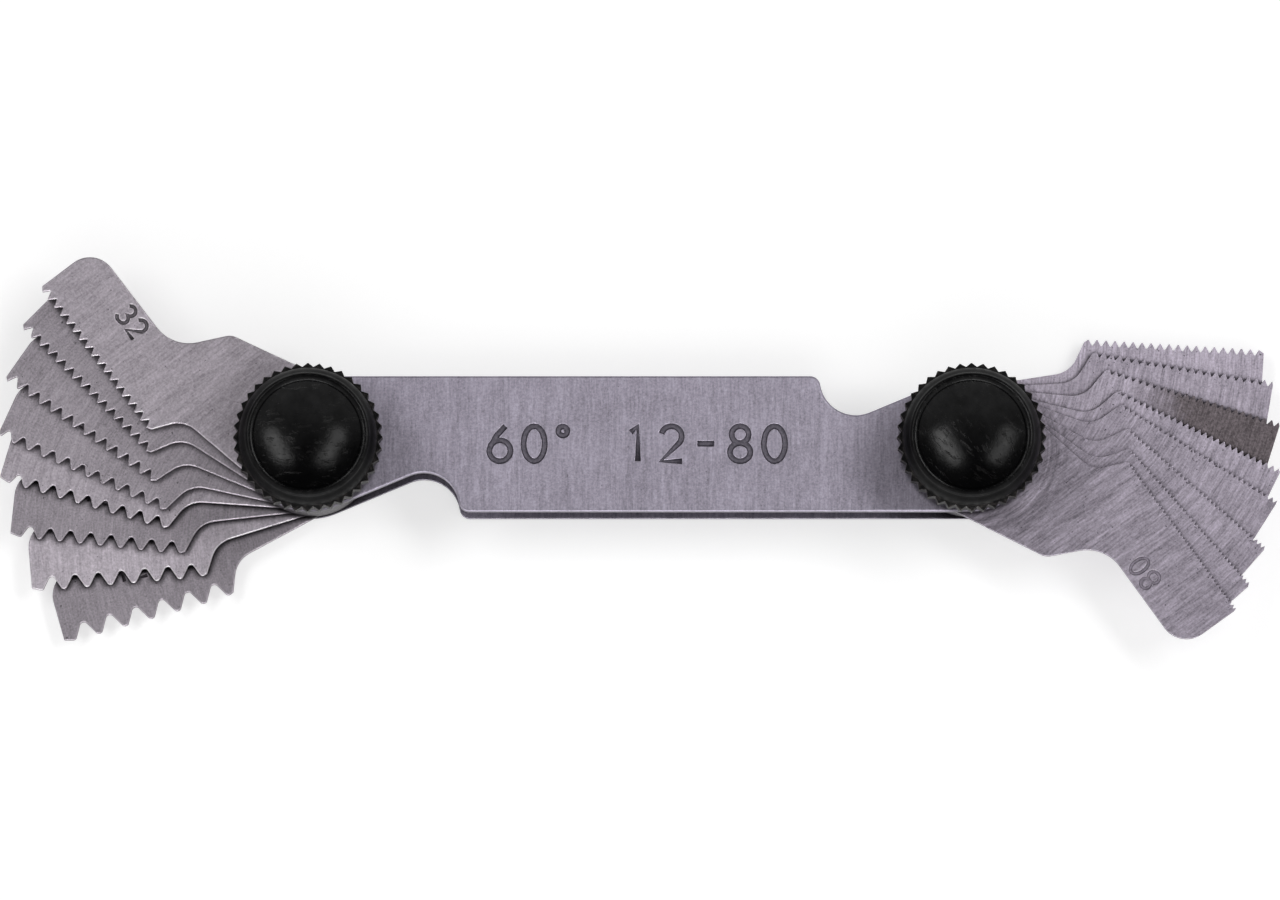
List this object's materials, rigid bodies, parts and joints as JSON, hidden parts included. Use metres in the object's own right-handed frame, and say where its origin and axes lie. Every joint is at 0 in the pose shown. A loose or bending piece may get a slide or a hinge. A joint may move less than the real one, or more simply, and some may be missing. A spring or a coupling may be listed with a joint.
{
  "type": "thread pitch gauge",
  "caption": "Folding thread pitch gauge: steel leaves with ground thread profiles fan out of both ends of a two-plate case and are clamped by black knurled knobs.",
  "frame": {"origin": "midway between the two pivots, on the back face of the back plate", "axes": "+X along the case towards the fine-pitch end, +Y across the case, +Z from the back plate to the knobs"},
  "size_m": [0.0998, 0.0299, 0.0122],
  "materials": {
    "plate_steel": "brushed across",
    "blade_steel": "ground",
    "stud_steel": "turned",
    "knob_black": "gloss moulded",
    "bush_brass": "turned"
  },
  "bodies": {
    "case": {"front_plate": "plate_steel", "back_plate": "plate_steel", "left_pivot_stud": "stud_steel", "right_pivot_stud": "stud_steel"},
    "left_washer": {"left_washer": "stud_steel"},
    "left_knob": {"left_knob": "knob_black", "left_knob_bush": "bush_brass"},
    "blade_32": {"blade_32": "blade_steel"},
    "blade_28": {"blade_28": "blade_steel"},
    "blade_24": {"blade_24": "blade_steel"},
    "blade_20": {"blade_20": "blade_steel"},
    "blade_18": {"blade_18": "blade_steel"},
    "blade_16": {"blade_16": "blade_steel"},
    "blade_14": {"blade_14": "blade_steel"},
    "blade_12": {"blade_12": "blade_steel"},
    "right_washer": {"right_washer": "stud_steel"},
    "right_knob": {"right_knob": "knob_black", "right_knob_bush": "bush_brass"},
    "blade_80": {"blade_80": "blade_steel"},
    "blade_72": {"blade_72": "blade_steel"},
    "blade_64": {"blade_64": "blade_steel"},
    "blade_56": {"blade_56": "blade_steel"},
    "blade_48": {"blade_48": "blade_steel"},
    "blade_44": {"blade_44": "blade_steel"},
    "blade_40": {"blade_40": "blade_steel"},
    "blade_36": {"blade_36": "blade_steel"}
  },
  "joints": [
    {"name": "left_washer_lift", "type": "slide", "parent": "case", "child": "left_washer", "axis": [0, 0, 1], "range_m": [0, 0.0005]},
    {"name": "left_knob_turn", "type": "hinge", "parent": "left_washer", "child": "left_knob", "pos_m": [-0.0257, 0, 0.00576], "axis": [0, 0, 1], "range_deg": [0, 360]},
    {"name": "blade_32_swing", "type": "hinge", "parent": "case", "child": "blade_32", "pos_m": [-0.0257, 0, 0.00477], "axis": [0, 0, 1], "range_deg": [-151.4, 77.6]},
    {"name": "blade_28_swing", "type": "hinge", "parent": "case", "child": "blade_28", "pos_m": [-0.0257, 0, 0.00423], "axis": [0, 0, 1], "range_deg": [-159.2, 69.8]},
    {"name": "blade_24_swing", "type": "hinge", "parent": "case", "child": "blade_24", "pos_m": [-0.0257, 0, 0.00369], "axis": [0, 0, 1], "range_deg": [-169.2, 59.8]},
    {"name": "blade_20_swing", "type": "hinge", "parent": "case", "child": "blade_20", "pos_m": [-0.0257, 0, 0.00315], "axis": [0, 0, 1], "range_deg": [-179.6, 49.4]},
    {"name": "blade_18_swing", "type": "hinge", "parent": "case", "child": "blade_18", "pos_m": [-0.0257, 0, 0.00261], "axis": [0, 0, 1], "range_deg": [-187.6, 41.4]},
    {"name": "blade_16_swing", "type": "hinge", "parent": "case", "child": "blade_16", "pos_m": [-0.0257, 0, 0.00207], "axis": [0, 0, 1], "range_deg": [-198, 31]},
    {"name": "blade_14_swing", "type": "hinge", "parent": "case", "child": "blade_14", "pos_m": [-0.0257, 0, 0.00153], "axis": [0, 0, 1], "range_deg": [-208.9, 20.1]},
    {"name": "blade_12_swing", "type": "hinge", "parent": "case", "child": "blade_12", "pos_m": [-0.0257, 0, 0.00099], "axis": [0, 0, 1], "range_deg": [-220.1, 8.9]},
    {"name": "right_washer_lift", "type": "slide", "parent": "case", "child": "right_washer", "axis": [0, 0, 1], "range_m": [0, 0.0005]},
    {"name": "right_knob_turn", "type": "hinge", "parent": "right_washer", "child": "right_knob", "pos_m": [0.0257, 0, 0.00576], "axis": [0, 0, 1], "range_deg": [0, 360]},
    {"name": "blade_80_swing", "type": "hinge", "parent": "case", "child": "blade_80", "pos_m": [0.0257, 0, 0.00477], "axis": [0, 0, 1], "range_deg": [-149.8, 79.2]},
    {"name": "blade_72_swing", "type": "hinge", "parent": "case", "child": "blade_72", "pos_m": [0.0257, 0, 0.00423], "axis": [0, 0, 1], "range_deg": [-155.2, 73.8]},
    {"name": "blade_64_swing", "type": "hinge", "parent": "case", "child": "blade_64", "pos_m": [0.0257, 0, 0.00369], "axis": [0, 0, 1], "range_deg": [-162.7, 66.3]},
    {"name": "blade_56_swing", "type": "hinge", "parent": "case", "child": "blade_56", "pos_m": [0.0257, 0, 0.00315], "axis": [0, 0, 1], "range_deg": [-171.7, 57.3]},
    {"name": "blade_48_swing", "type": "hinge", "parent": "case", "child": "blade_48", "pos_m": [0.0257, 0, 0.00261], "axis": [0, 0, 1], "range_deg": [-177.6, 51.4]},
    {"name": "blade_44_swing", "type": "hinge", "parent": "case", "child": "blade_44", "pos_m": [0.0257, 0, 0.00207], "axis": [0, 0, 1], "range_deg": [-186.4, 42.6]},
    {"name": "blade_40_swing", "type": "hinge", "parent": "case", "child": "blade_40", "pos_m": [0.0257, 0, 0.00153], "axis": [0, 0, 1], "range_deg": [-194.3, 34.7]},
    {"name": "blade_36_swing", "type": "hinge", "parent": "case", "child": "blade_36", "pos_m": [0.0257, 0, 0.00099], "axis": [0, 0, 1], "range_deg": [-200.5, 28.5]}
  ],
  "couplings": [
    {"joint": "left_knob_turn", "follows": "left_washer_lift", "rad_per_m": 12566},
    {"joint": "right_knob_turn", "follows": "right_washer_lift", "rad_per_m": 12566}
  ]
}
